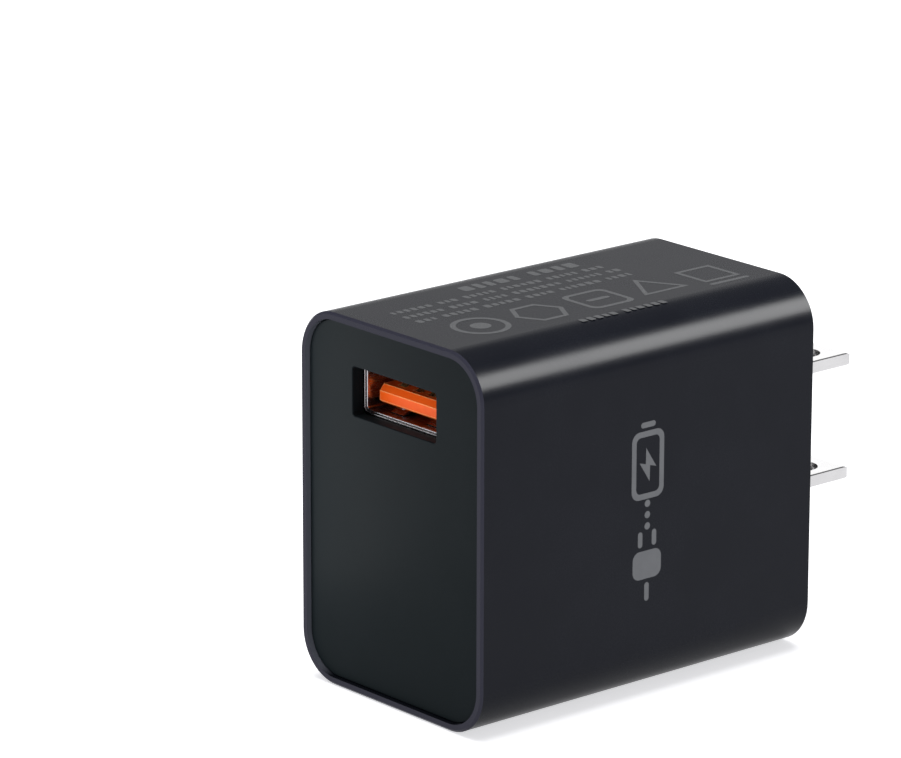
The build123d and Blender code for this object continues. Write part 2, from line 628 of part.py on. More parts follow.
def transformer_winding():
    return rounded_ring(*winding_span(), WINDING_Y, WINDING_Z, WINDING_R,
                        TUBE_Y + WINDING_FIT, TUBE_Z + WINDING_FIT)


def transformer_tape():
    low, high = winding_span()
    ring = rounded_ring(low, high, WINDING_Y + TAPE_T, WINDING_Z + TAPE_T, WINDING_R + TAPE_T,
                        TUBE_Y, TUBE_Z)
    plane = Plane(origin=(low - 1, *TRANSFORMER), x_dir=(0, 1, 0), z_dir=(1, 0, 0))
    filled = plane * RectangleRounded(2 * WINDING_Y + WINDING_FIT, 2 * WINDING_Z + WINDING_FIT,
                                      WINDING_R + WINDING_FIT / 2)
    return ring - extrude(filled, high - low + 2)


def transformer_pins():
    y, z = TRANSFORMER
    return [post(LEAD_R, BOARD_BACK - LEAD_STUB, BOARD_X + 2.5, y + dy, z + dz)
            for dy in (-PIN_Y, PIN_Y) for dz in PIN_Z]


# ------------------------------------------------------------------ other leaded parts
def choke_core():
    y, z = CHOKE
    base = BOARD_X + CHOKE_LIFT
    core = post(CHOKE_NECK_R, base, base + CHOKE_H, y, z)
    for x0 in (base, base + CHOKE_H - CHOKE_FLANGE):
        core += post(CHOKE_R, x0, x0 + CHOKE_FLANGE, y, z)
    for dz in (-DISC_HALF_PITCH, DISC_HALF_PITCH):
        core -= post(LEAD_R + LEAD_FIT, base - 1, base + 0.8, y, z + dz)
    return core


def choke_winding():
    y, z = CHOKE
    low = BOARD_X + CHOKE_LIFT + CHOKE_FLANGE + WINDING_FIT
    high = BOARD_X + CHOKE_LIFT + CHOKE_H - CHOKE_FLANGE - WINDING_FIT
    pitch = (high - low) / CHOKE_TURNS
    crown, valley = CHOKE_WIRE
    coil = post(CHOKE_R - valley, low, high, y, z)
    for turn in range(CHOKE_TURNS):
        at = low + (turn + 0.5) * pitch
        coil += post(CHOKE_R - crown, at - 0.3 * pitch, at + 0.3 * pitch, y, z)
    return coil - post(CHOKE_NECK_R + WINDING_FIT, low - 1, high + 1, y, z)


def fuse_resistor():
    """A round fusible resistor lying along Z, thicker at its two end caps."""
    y, z = FUSE
    x = BOARD_X + FUSE_LIFT + FUSE_R
    body = Pos(x, y, z) * Cylinder(FUSE_R - FUSE_WAIST, FUSE_L)
    for side in (-1, 1):
        cap = Pos(x, y, z + side * (FUSE_L - FUSE_CAP_L) / 2) * Cylinder(FUSE_R, FUSE_CAP_L)
        body += fillet(cap.edges().filter_by(GeomType.CIRCLE), 0.35)
    return body


def fuse_lead(side):
    """A bent wire from the end of the fuse to the board."""
    y, z = FUSE
    x = BOARD_X + FUSE_LIFT + FUSE_R
    end = z + side * FUSE_HALF_PITCH
    path = FilletPolyline((x, y, z + side * FUSE_L / 2), (x, y, end),
                          (BOARD_BACK - LEAD_STUB, y, end), radius=0.45)
    return sweep(Plane(origin=path @ 0, z_dir=path % 0) * Circle(LEAD_R), path)


def disc_body(place):
    """A dipped disc, standing on edge, with its coating running down the leads."""
    y, z = place
    x = BOARD_X + DISC_LIFT + DISC_R
    disc = Pos(x, y, z) * (Rot(90, 0, 0) * Cylinder(DISC_R, DISC_T))
    return fillet(disc.edges().filter_by(GeomType.CIRCLE), DISC_EDGE_R)


def straight_leads(place, reach):
    y, z = place
    return [post(LEAD_R, BOARD_BACK - LEAD_STUB, BOARD_X + reach, y, z + dz)
            for dz in (-DISC_HALF_PITCH, DISC_HALF_PITCH)]


def disc_leads(place):
    """Two leads that end on the rim of the disc above them."""
    body = disc_body(place)
    return [lead - body for lead in straight_leads(place, DISC_LIFT + DISC_R)]


# ------------------------------------------------------------------ chips on the solder side
def chip(name):
    y, z, size_y, size_z, thick, _ = CHIPS[name]
    top = BOARD_BACK - CHIP_STANDOFF
    body = block(top - thick, top, y - size_y / 2, y + size_y / 2, z - size_z / 2, z + size_z / 2)
    body = chamfer(body.faces().sort_by(Axis.X)[0].edges(), CHIP_EDGE)
    dot = Pos(top - thick, y - size_y / 2 + CHIP_DOT_AT, z - size_z / 2 + CHIP_DOT_AT)
    return body - dot * (Rot(0, 90, 0) * Cylinder(CHIP_DOT_R, 0.2))


def chip_leads(name):
    y, z, size_y, size_z, thick, count = CHIPS[name]
    pitch = size_z / count
    leads = []
    for side in (-1, 1):
        for n in range(count):
            at = z + (n - (count - 1) / 2) * pitch
            edge = y + side * size_y / 2
            knee = edge + side * CHIP_LEAD_KNEE
            toe = edge + side * CHIP_LEAD_REACH
            mid = BOARD_BACK - CHIP_STANDOFF - thick / 2
            y0, y1 = sorted((edge, knee))
            arm = block(mid, mid + CHIP_LEAD_T, y0, y1, at - CHIP_LEAD_W / 2, at + CHIP_LEAD_W / 2)
            y0, y1 = sorted((knee, knee - side * CHIP_LEAD_T))
            leg = block(mid, BOARD_BACK, y0, y1, at - CHIP_LEAD_W / 2, at + CHIP_LEAD_W / 2)
            y0, y1 = sorted((knee - side * CHIP_LEAD_T, toe))
            foot = block(BOARD_BACK - CHIP_LEAD_T, BOARD_BACK, y0, y1,
                         at - CHIP_LEAD_W / 2, at + CHIP_LEAD_W / 2)
            leads.append(arm + leg + foot)
    return leads


def small_parts():
    """Resistors and capacitors in rows on the solder side."""
    half_y, half_z = (size / 2 for size in SMALL_SIZE)
    parts = []
    for first_y, first_z, columns, rows in SMALL_PARTS:
        for column in range(columns):
            for row in range(rows):
                y = first_y + SMALL_PITCH[0] * column
                z = first_z + SMALL_PITCH[1] * row
                thick = SMALL_T[(column + row) % 2]
                parts.append(block(BOARD_BACK - thick, BOARD_BACK, y - half_y, y + half_y,
                                   z - half_z, z + half_z))
    return parts


# ------------------------------------------------------------------ the assembly
def build():
    caps = [(place, INPUT_CAP_D, True) for place in INPUT_CAPS.values()]
    caps += [(place, OUTPUT_CAP_D, False) for place in OUTPUT_CAPS.values()]
    core_top = CORE_BASE + CORE_H
    core_joint = (CORE_BASE + core_top) / 2
    parts = {
        "housing_sleeve": housing_sleeve(),
        "front_panel": front_panel(),
        "blade_plate": blade_plate(),
        "contact_rivets": group(contact_rivet(z) for z in BLADE_Z.values()),
        "usb_shell": usb_shell(),
        "usb_insulator": usb_insulator(),
        "usb_contact_springs": group(contact_spring(x) for x in CONTACT_X),
        "usb_contact_tails": group(contact_tail(x, row) for row, x in enumerate(CONTACT_X)),
        "usb_fingers_upper": group(retention_finger(x, 1) for x in FINGER_X),
        "usb_fingers_lower": group(retention_finger(x, -1) for x in FINGER_X),
        "main_board": main_board(),
        "solder_joints": group(solder_joints()),
        "insulation_sheet": insulation_sheet(),
        "input_capacitor_sleeves": group(
            capacitor_sleeve(place, INPUT_CAP_D, INPUT_CAP_L) for place in INPUT_CAPS.values()),
        "capacitor_bungs": group(capacitor_bung(*cap) for cap in caps),
        "capacitor_leads": group(lead for place, _, _ in caps for lead in capacitor_leads(place)),
        "transformer_core_inner": core_half(CORE_BASE, core_joint),
        "transformer_core_outer": core_half(core_top, core_joint),
        "transformer_bobbin": transformer_bobbin(),
        "transformer_winding": transformer_winding(),
        "transformer_tape": transformer_tape(),
        "transformer_pins": group(transformer_pins()),
        "choke_core": choke_core(),
        "choke_winding": choke_winding(),
        "choke_leads": group(straight_leads(CHOKE, 1.3)),
        "fuse_resistor": fuse_resistor(),
        "fuse_leads": group(fuse_lead(side) for side in (-1, 1)),
        "varistor": disc_body(VARISTOR),
        "y_capacitor": disc_body(Y_CAP),
        "disc_leads": group(disc_leads(VARISTOR) + disc_leads(Y_CAP)),
        "chip_leads": group(lead for name in CHIPS for lead in chip_leads(name)),
        "small_parts": group(small_parts()),
    }
    for name, z in BLADE_Z.items():
        parts[f"blade_{name}"] = blade(z)
        parts[f"contact_strip_{name}"] = contact_strip(z)
    for name, place in INPUT_CAPS.items():
        parts[f"input_capacitor_{name}"] = capacitor_can(place, INPUT_CAP_D, INPUT_CAP_L, True)
    for name, place in OUTPUT_CAPS.items():
        parts[f"output_capacitor_{name}"] = capacitor_can(place, OUTPUT_CAP_D, OUTPUT_CAP_L, False)
    for name in CHIPS:
        parts[name] = chip(name)
    return parts


os.makedirs("parts", exist_ok=True)
for node, shape in build().items():
    export_step(shape, f"parts/{node}.step")
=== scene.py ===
import json
import math
import random

import bpy
from mathutils import Matrix, Quaternion, Vector


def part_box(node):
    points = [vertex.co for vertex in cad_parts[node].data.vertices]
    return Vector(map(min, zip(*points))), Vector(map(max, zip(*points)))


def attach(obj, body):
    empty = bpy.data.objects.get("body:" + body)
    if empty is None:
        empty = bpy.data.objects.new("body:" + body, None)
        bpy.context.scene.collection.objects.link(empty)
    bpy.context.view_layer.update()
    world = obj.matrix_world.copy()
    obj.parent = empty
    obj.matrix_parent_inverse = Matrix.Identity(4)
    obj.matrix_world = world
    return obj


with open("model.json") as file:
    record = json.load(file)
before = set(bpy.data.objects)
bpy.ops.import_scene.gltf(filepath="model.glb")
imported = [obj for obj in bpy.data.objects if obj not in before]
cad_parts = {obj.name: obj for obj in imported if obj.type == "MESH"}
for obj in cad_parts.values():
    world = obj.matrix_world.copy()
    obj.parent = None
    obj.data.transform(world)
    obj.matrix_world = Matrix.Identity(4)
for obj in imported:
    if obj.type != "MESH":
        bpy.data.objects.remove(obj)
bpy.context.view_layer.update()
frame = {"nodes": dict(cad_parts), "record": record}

# ------------------------------------------------------------------ places, from the frame
MM = 0.001
sleeve_low, sleeve_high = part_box("housing_sleeve")
FRONT_Y = sleeve_low.y
FACE_Y = sleeve_high.y
SIDE_X = sleeve_high.x
TOP_Z = sleeve_high.z
MID_Y = (FRONT_Y + FACE_Y) / 2
MID_Z = (sleeve_low.z + TOP_Z) / 2
USB_FACE = Vector((0, FRONT_Y, MID_Z))


# ------------------------------------------------------------------ camera, as in the photograph
CAMERA_AZIMUTH = math.radians(49.445)
CAMERA_ELEVATION = math.radians(16.215)
CAMERA_ROLL = math.radians(0.094)
CAMERA_DISTANCE = 560 * MM
CAMERA_AIM = USB_FACE + Vector((-13.019, 19.156, 8.431)) * MM
CAMERA_LENS = 214.61


def direction(azimuth, elevation):
    """Unit vector towards a place round the object; azimuth 0 is in front of the USB face."""
    return Vector((math.sin(azimuth) * math.cos(elevation),
                   -math.cos(azimuth) * math.cos(elevation), math.sin(elevation)))


def make_camera():
    camera = bpy.data.objects.new("camera", bpy.data.cameras.new("camera"))
    bpy.context.scene.collection.objects.link(camera)
    back = direction(CAMERA_AZIMUTH, CAMERA_ELEVATION)
    camera.data.lens = CAMERA_LENS
    camera.data.sensor_width = 36
    camera.data.clip_start, camera.data.clip_end = 0.01, 50
    camera.location = CAMERA_AIM + back * CAMERA_DISTANCE
    camera.rotation_mode = "QUATERNION"
    level = (-back).to_track_quat("-Z", "Y")
    camera.rotation_quaternion = level @ Quaternion((0, 0, 1), CAMERA_ROLL)
    bpy.context.scene.camera = camera


# ------------------------------------------------------------------ node trees
class Paint:
    """A material's node tree, with short calls for the nodes that the materials share."""

    def __init__(self, name, metallic=0.0, specular=0.5, coat=0.0):
        self.material = bpy.data.materials.new(name)
        self.material.use_nodes = True
        self.tree = self.material.node_tree
        self.shader = self.tree.nodes["Principled BSDF"]
        self.shader.inputs["Metallic"].default_value = metallic
        self.shader.inputs["Specular IOR Level"].default_value = specular
        self.shader.inputs["Coat Weight"].default_value = coat
        self.place = self.add("ShaderNodeTexCoord").outputs["Object"]
        self.normal = None

    def add(self, kind, inputs=None, **settings):
        node = self.tree.nodes.new(kind)
        for key, value in settings.items():
            setattr(node, key, value)
        for key, value in (inputs or {}).items():
            if isinstance(value, bpy.types.NodeSocket):
                self.tree.links.new(value, node.inputs[key])
            else:
                node.inputs[key].default_value = value
        return node

    def stretched(self, factors):
        return self.add("ShaderNodeMapping", {"Vector": self.place, "Scale": factors}).outputs[0]

    def noise(self, size, detail=2.0, stretch=None):
        """Noise whose features are about size millimetres across."""
        vector = self.stretched(stretch) if stretch else self.place
        return self.add("ShaderNodeTexNoise", {"Vector": vector, "Scale": 1 / (size * MM),
                                               "Detail": detail}).outputs["Fac"]

    def bands(self, period, axis):
        """Waves of that period in millimetres along an axis."""
        return self.add("ShaderNodeTexWave", {"Vector": self.place,
                                              "Scale": math.pi / 10 / (period * MM)},
                        bands_direction=axis).outputs["Fac"]

    def remap(self, value, low, high, to_low=0.0, to_high=1.0):
        return self.add("ShaderNodeMapRange", {"Value": value, "From Min": low, "From Max": high,
                                               "To Min": to_low, "To Max": to_high},
                        interpolation_type="SMOOTHSTEP").outputs[0]

    def maths(self, operation, *values):
        return self.add("ShaderNodeMath", dict(enumerate(values)), operation=operation).outputs[0]

    def vector(self, operation, *values):
        return self.add("ShaderNodeVectorMath", dict(enumerate(values)),
                        operation=operation).outputs["Vector"]

    def mix(self, share, first, second):
        return self.add("ShaderNodeMix", {0: share, 6: first, 7: second},
                        data_type="RGBA").outputs[2]

    def colour(self, value):
        self.put("Base Color", value)

    def tint(self, share, shade):
        """Mixes a shade over the colour so far."""
        so_far = self.shader.inputs["Base Color"].links[0].from_socket
        self.colour(self.mix(share, so_far, rgba(*shade)))

    def length(self, operation, *values):
        """A vector operation whose result is a number."""
        return self.add("ShaderNodeVectorMath", dict(enumerate(values)),
                        operation=operation).outputs["Value"]

    def true_normal(self):
        return self.add("ShaderNodeNewGeometry").outputs["Normal"]

    def put(self, name, value):
        if isinstance(value, bpy.types.NodeSocket):
            self.tree.links.new(value, self.shader.inputs[name])
        else:
            self.shader.inputs[name].default_value = value

    def bump(self, height, depth):
        """Adds relief, depth in millimetres, on top of the relief so far."""
        inputs = {"Height": height, "Distance": depth * MM}
        if self.normal:
            inputs["Normal"] = self.normal
        self.normal = self.add("ShaderNodeBump", inputs).outputs[0]
        self.put("Normal", self.normal)


def rgba(*values):
    return (*values, 1.0)


def surface(name, light, dark, rough, metallic=0.0, specular=0.5, mottle=3.0,
            grain=0.12, depth=0.002, brush=None, scratches=0.0):
    """A finish with cloudy colour, uneven gloss and fine relief. Sizes are in millimetres."""
    paint = Paint(name, metallic, specular)
    cloud = paint.noise(mottle, 4.0)
    fine = paint.noise(grain, 3.0, stretch=brush)
    tone = paint.remap(cloud, 0.3, 0.7)
    speck = paint.remap(fine, 0.3, 0.7, 0.0, 0.35)
    paint.colour(paint.mix(paint.maths("MULTIPLY_ADD", tone, 0.65, speck), rgba(*dark),
                           rgba(*light)))
    gloss = paint.maths("MULTIPLY_ADD", fine, 0.6, paint.maths("MULTIPLY", cloud, 0.4))
    roughness = paint.remap(gloss, 0.3, 0.7, *rough)
    if scratches:
        lines = paint.noise(0.06, 2.0, stretch=(1.0, 0.02, 0.6))
        marks = paint.remap(lines, 0.66, 0.72, 0.0, scratches)
        roughness = paint.maths("ADD", roughness, marks)
        paint.bump(lines, depth)
    paint.put("Roughness", roughness)
    paint.bump(fine, depth)
    return paint


# ------------------------------------------------------------------ materials
RIM_BAND = 0.62 * MM
CORNER_R = 5.1 * MM
RIM_W = 0.5 * MM
# Colours of the painted sheen on the rim and the painted light on the step's wall.
RIM_PAINTED_SHEEN = (0.021, 0.021, 0.031)
STEP_PAINTED_LIGHT = (0.062, 0.066, 0.080)


def within_outline(paint, across, up):
    """1 inside the sleeve's rounded outline less its rim, and 0 on the rim."""
    from_middle = paint.add("ShaderNodeCombineXYZ", {
        0: across, 1: paint.maths("SUBTRACT", up, MID_Z)}).outputs[0]
    straight = (SIDE_X - CORNER_R, TOP_Z - MID_Z - CORNER_R, 0.0)
    past_straight = paint.vector("SUBTRACT", paint.vector("ABSOLUTE", from_middle), straight)
    reach = paint.length("LENGTH", paint.vector("MAXIMUM", past_straight, (0, 0, 0)))
    return paint.remap(reach, CORNER_R - RIM_W, CORNER_R - RIM_W / 2, 1.0, 0.0)


def sleeve_finish():
    """Satin black moulding. The rim at the USB end has a painted sheen and the step inside it has
    painted light, so both are lighter.
    """
    paint = surface("sleeve_black", (0.0037, 0.0042, 0.0063), (0.0028, 0.0032, 0.0050),
                    (0.23, 0.29), specular=0.072, mottle=9.0, grain=0.09, depth=0.0006)
    place = paint.add("ShaderNodeSeparateXYZ", {0: paint.place}).outputs
    facing = paint.add("ShaderNodeSeparateXYZ", {0: paint.true_normal()}).outputs
    from_front = paint.maths("SUBTRACT", place["Y"], FRONT_Y)

    upright = paint.remap(paint.maths("ABSOLUTE", facing["X"]), 0.1, 0.6)
    step_light_band = paint.remap(from_front, RIM_BAND, RIM_BAND * 1.2, 1.0, 0.0)
    inside = within_outline(paint, place["X"], place["Z"])
    # Painted light: the upright wall of the step inside the rim is made lighter, as if lit.
    paint.tint(paint.maths("MULTIPLY", paint.maths("MULTIPLY", inside, upright), step_light_band),
               STEP_PAINTED_LIGHT)

    end_on = paint.remap(paint.maths("ABSOLUTE", facing["Y"]), 0.50, 0.66)
    rim_sheen_band = paint.remap(from_front, RIM_BAND / 2, RIM_BAND, 1.0, 0.0)
    # Painted sheen: the rim's end face is made lighter.
    paint.tint(paint.maths("MULTIPLY", end_on, rim_sheen_band), RIM_PAINTED_SHEEN)
    return paint.material


def panel_finish():
    return surface("panel_black", (0.0068, 0.0093, 0.0107), (0.0058, 0.0083, 0.0095),
                   (0.36, 0.46), specular=0.02, mottle=6.0, grain=0.07, depth=0.0014).material


def plate_finish():
    return surface("plate_black", (0.0185, 0.0190, 0.0215), (0.0145, 0.0150, 0.0170),
                   (0.42, 0.52), specular=0.15, mottle=6.0, grain=0.07, depth=0.0016).material


def nickel_finish():
    """Bright nickel plate over drawn brass, with fine lines along the blade."""
    return surface("nickel_plate", (0.52, 0.515, 0.515), (0.45, 0.445, 0.445), (0.16, 0.26),
                   metallic=1.0, mottle=4.0, grain=0.05, depth=0.0012,
                   brush=(1.0, 0.04, 1.0), scratches=0.10).material


def steel_finish():
    return surface("shell_steel", (0.54, 0.53, 0.545), (0.44, 0.43, 0.445), (0.20, 0.29),
                   metallic=1.0, mottle=2.0, grain=0.05, depth=0.001,
                   brush=(0.05, 1.0, 1.0), scratches=0.08).material


EDGE_R = 0.15 * MM
EDGE_PAINTED_HIGHLIGHT = (1.0, 0.48, 0.18)


def tongue_finish():
    """Orange moulding, with a painted highlight along its edges."""
    paint = surface("tongue_orange", (0.85, 0.108, 0.0060), (0.78, 0.090, 0.0048), (0.32, 0.44),
                    specular=0.22, mottle=1.6, grain=0.08, depth=0.002)
    softened = paint.add("ShaderNodeBevel", {"Radius": EDGE_R}).outputs[0]
    turned = paint.length("DISTANCE", softened, paint.true_normal())
    # Painted highlight: paler where the bevelled normal turns away from the true one, along the
    # edges.
    paint.tint(paint.remap(turned, 0.06, 0.26), EDGE_PAINTED_HIGHLIGHT)
    paint.shader.inputs["Subsurface Weight"].default_value = 0.12
    paint.shader.inputs["Subsurface Radius"].default_value = (0.0012, 0.0004, 0.0001)
    return paint.material


def board_finish():
    """Solder mask over copper: tracks show as slightly raised, lighter lines."""
    paint = Paint("board_green", specular=0.5, coat=0.2)
    cells = paint.add("ShaderNodeTexVoronoi", {"Vector": paint.place, "Scale": 420.0},
                      feature="F1", distance="CHEBYCHEV").outputs["Distance"]
    tracks = paint.remap(cells, 0.42, 0.50)
    weave = paint.noise(0.3, 2.0)
    ground = paint.mix(weave, rgba(0.012, 0.090, 0.038), rgba(0.020, 0.125, 0.055))
    paint.colour(paint.mix(tracks, ground, rgba(0.045, 0.24, 0.10)))
    paint.put("Roughness", paint.remap(weave, 0.3, 0.7, 0.22, 0.36))
    paint.bump(tracks, 0.02)
    paint.bump(weave, 0.003)
    return paint.material


def wound_finish(name, light, dark, period, axis, metallic=1.0, rough=(0.22, 0.34)):
    """Layers of round wire or tape, side by side along an axis, with painted shade in the grooves
    between them.
    """
    paint = Paint(name, metallic=metallic, specular=0.5)
    turns = paint.bands(period, axis)
    cloud = paint.noise(1.5, 3.0)
    crowns = paint.remap(turns, 0.1, 0.8)
    body = paint.mix(cloud, rgba(*dark), rgba(*light))
    # Painted shade: darker in the grooves between turns.
    paint.colour(paint.mix(paint.maths("MULTIPLY", crowns, 0.8), rgba(*(v * 0.35 for v in dark)),
                           body))
    paint.put("Roughness", paint.remap(cloud, 0.3, 0.7, *rough))
    paint.bump(turns, period * 0.3)
    paint.bump(cloud, 0.004)
    return paint.material


def can_finish():
    return surface("can_aluminium", (0.83, 0.83, 0.84), (0.72, 0.73, 0.74), (0.22, 0.34),
                   metallic=1.0, mottle=3.0, grain=0.06, depth=0.001,
                   brush=(0.03, 1.0, 1.0), scratches=0.08).material


def plain_finishes():
    """Finishes of the inner parts that need no more than cloudy colour and fine relief."""
    listed = {
        "spring_brass": dict(light=(0.84, 0.63, 0.28), dark=(0.66, 0.47, 0.19),
                             rough=(0.22, 0.36), metallic=1.0, brush=(0.05, 1.0, 1.0)),
        "contact_gold": dict(light=(0.98, 0.74, 0.32), dark=(0.86, 0.60, 0.22),
                             rough=(0.14, 0.26), metallic=1.0, brush=(1.0, 0.05, 1.0)),
        "tinned_lead": dict(light=(0.76, 0.76, 0.75), dark=(0.60, 0.60, 0.59),
                            rough=(0.26, 0.42), metallic=1.0),
        "solder": dict(light=(0.80, 0.81, 0.82), dark=(0.58, 0.59, 0.61), rough=(0.16, 0.34),
                       metallic=1.0, mottle=0.5, grain=0.1, depth=0.006),
        "insulation_film": dict(light=(0.78, 0.74, 0.62), dark=(0.66, 0.61, 0.49),
                                rough=(0.55, 0.75), mottle=5.0, grain=0.15, depth=0.006),
        "capacitor_sleeve": dict(light=(0.014, 0.018, 0.035), dark=(0.008, 0.011, 0.024),
                                 rough=(0.18, 0.30), mottle=4.0, depth=0.003),
        "bung_rubber": dict(light=(0.022, 0.022, 0.022), dark=(0.012, 0.012, 0.012),
                            rough=(0.6, 0.8), depth=0.006),
        "ferrite": dict(light=(0.055, 0.055, 0.060), dark=(0.028, 0.028, 0.031),
                        rough=(0.45, 0.68), mottle=1.0, grain=0.18, depth=0.01),
        "bobbin_black": dict(light=(0.016, 0.016, 0.017), dark=(0.009, 0.009, 0.010),
                             rough=(0.34, 0.5), depth=0.003),
        "ceramic_blue": dict(light=(0.030, 0.17, 0.52), dark=(0.018, 0.11, 0.38),
                             rough=(0.16, 0.34), mottle=1.2, grain=0.5, depth=0.02),
        "fuse_green": dict(light=(0.09, 0.30, 0.17), dark=(0.05, 0.20, 0.11),
                           rough=(0.24, 0.42), mottle=1.0, grain=0.4, depth=0.01),
        "chip_black": dict(light=(0.024, 0.024, 0.026), dark=(0.014, 0.014, 0.015),
                           rough=(0.5, 0.68), mottle=1.0, grain=0.06, depth=0.004),
        "chip_ceramic": dict(light=(0.50, 0.40, 0.28), dark=(0.36, 0.28, 0.19),
                             rough=(0.4, 0.6), mottle=0.8, grain=0.1, depth=0.003),
    }
    return {name: surface(name, **finish).material for name, finish in listed.items()}


def paint_nodes():
    """Gives every CAD node the finish of its slot in the record."""
    finishes = plain_finishes()
    finishes.update({
        "sleeve_black": sleeve_finish(), "panel_black": panel_finish(),
        "plate_black": plate_finish(), "nickel_plate": nickel_finish(),
        "shell_steel": steel_finish(), "tongue_orange": tongue_finish(),
        "board_green": board_finish(), "can_aluminium": can_finish(),
        "copper_wire": wound_finish("copper_wire", (0.80, 0.34, 0.13), (0.58, 0.20, 0.07),
                                    0.28, "X"),
        "tape_yellow": wound_finish("tape_yellow", (0.86, 0.60, 0.05), (0.74, 0.48, 0.03),
                                    4.6, "X", metallic=0.0, rough=(0.25, 0.42)),
    })
    for part in frame["record"]["subparts"]:
        node = frame["nodes"][part["node"]]
        node.data.materials.clear()
        node.data.materials.append(finishes[part["material_slot"]])


# ------------------------------------------------------------------ printed marks
INK_THICKNESS = 0.006 * MM
INK_LIFT = 0.004 * MM


def side_ink():
    return surface("ink_grey", (0.066, 0.068, 0.073), (0.057, 0.059, 0.064), (0.45, 0.55),
                   specular=0.15, mottle=1.5, grain=0.08, depth=0.001).material


def label_ink():
    return surface("ink_faint", (0.078, 0.081, 0.086), (0.068, 0.071, 0.076), (0.22, 0.29),
                   specular=0.12, mottle=1.5, grain=0.08, depth=0.001).material


def rounded(x, y, width, height, radius, steps=6):
    """A rectangle with rounded corners."""
    points = []
    for sx, sy, start in ((1, 1, 0), (-1, 1, 90), (-1, -1, 180), (1, -1, 270)):
        cx, cy = x + sx * (width / 2 - radius), y + sy * (height / 2 - radius)
        for step in range(steps + 1):
            angle = math.radians(start + 90 * step / steps)
            points.append((cx + radius * math.cos(angle), cy + radius * math.sin(angle)))
    return points


def capsule(x, y, width, height):
    """A bar with round ends."""
    return rounded(x, y, width, height, min(width, height) / 2)


def regular(x, y, radius, sides, turn=0.0):
    """A regular polygon, or a circle if it has many sides."""
    return [(x + radius * math.cos(2 * math.pi * n / sides + turn),
             y + radius * math.sin(2 * math.pi * n / sides + turn)) for n in range(sides)]


def print_mark(name, outlines, origin, reading, upward, ink):
    """Thin ink on a face: outlines in millimetres, a loop inside another being a hole."""
    curve = bpy.data.curves.new(name, "CURVE")
    curve.dimensions = "2D"
    curve.fill_mode = "BOTH"
    curve.extrude = INK_THICKNESS / 2
    for points in outlines:
        spline = curve.splines.new("POLY")
        spline.points.add(len(points) - 1)
        for point, (x, y) in zip(spline.points, points):
            point.co = (x * MM, y * MM, 0, 1)
        spline.use_cyclic_u = True
    flat = bpy.data.objects.new(name + "_outline", curve)
    bpy.context.scene.collection.objects.link(flat)
    bpy.context.view_layer.update()
    mesh = bpy.data.meshes.new_from_object(flat.evaluated_get(
        bpy.context.evaluated_depsgraph_get()))
    bpy.data.objects.remove(flat)
    out = reading.cross(upward)
    turn = Matrix((reading, upward, out)).transposed().to_4x4()
    mesh.transform(Matrix.Translation(origin + out * (INK_LIFT + INK_THICKNESS / 2)) @ turn)
    mesh.name = name
    mesh.materials.clear()
    mesh.materials.append(ink)
    piece = bpy.data.objects.new(name, mesh)
    bpy.context.scene.collection.objects.link(piece)
    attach(piece, "charger")
    return piece


# Pictograms on the side face, in millimetres, read upwards from the middle of its height.
SIDE_MARK_Y = 22.15
LINE = 0.62
GAP = 0.4
PLUG_AT, DOTS_AT, BATTERY_AT = -5.7, (-1.6, -0.4, 0.8), 4.9
PLUG_BODY, PLUG_CORNER, PIN_LENGTH, PIN_OFFSET, TAIL_LENGTH = (3.0, 3.9), 0.9, 1.7, 0.95, 2.0
DOT_R = 0.38
BATTERY_BODY, BATTERY_CORNER, BATTERY_CAP, CAP_GAP = (7.2, 4.4), 1.0, (0.6, 2.0), 0.35


def plug_icon():
    """A two-pin plug with a short tail, lying along the reading direction."""
    width, height = PLUG_BODY
    pin_x = PLUG_AT + width / 2 + GAP + PIN_LENGTH / 2
    tail_x = PLUG_AT - width / 2 - GAP - TAIL_LENGTH / 2
    pins = [capsule(pin_x, side * PIN_OFFSET, PIN_LENGTH, LINE) for side in (-1, 1)]
    return [rounded(PLUG_AT, 0, width, height, PLUG_CORNER),
            capsule(tail_x, 0, TAIL_LENGTH, LINE)] + pins


def battery_icon():
    """A battery outline with a bolt in it."""
    width, height = BATTERY_BODY
    outer = rounded(BATTERY_AT, 0, width, height, BATTERY_CORNER)
    inner = rounded(BATTERY_AT, 0, width - 2 * LINE, height - 2 * LINE,
                    BATTERY_CORNER - LINE * 0.7)
    cap = capsule(BATTERY_AT + width / 2 + CAP_GAP + BATTERY_CAP[0] / 2, 0, *BATTERY_CAP)
    half_bolt = [(-1.8, -0.25), (0.35, 1.15), (0.1, 0.3)]
    bolt = half_bolt + [(-x, -y) for x, y in half_bolt]
    return [outer, inner, cap, [(BATTERY_AT + x, y) for x, y in bolt]]


def side_print(ink):
    """Pictograms up the side face: a plug, three dots and a battery."""
    outlines = plug_icon() + battery_icon() + [regular(x, 0, DOT_R, 24) for x in DOTS_AT]
    origin = Vector((SIDE_X, FRONT_Y + SIDE_MARK_Y * MM, MID_Z))
    return print_mark("side_pictograms", outlines, origin, Vector((0, 0, 1)),
                      Vector((0, -1, 0)), ink)


def dashes(start, end, across, height, dice):
    """A row of small bars in groups, like words too small to read."""
    bars = []
    at = start
    while at < end:
        for _ in range(dice.randint(3, 7)):
            width = height * dice.uniform(0.45, 0.75)
            if at + width > end:
                break
            bars.append(rounded(at + width / 2, across, width, height * dice.uniform(0.8, 1.0),
                                height * 0.15, steps=3))
            at += width + height * 0.28
        at += height * 0.7
    return bars


def nested(points_of, size, line):
    """An outline shape and its hole."""
    return [points_of(size), points_of(size - line)]


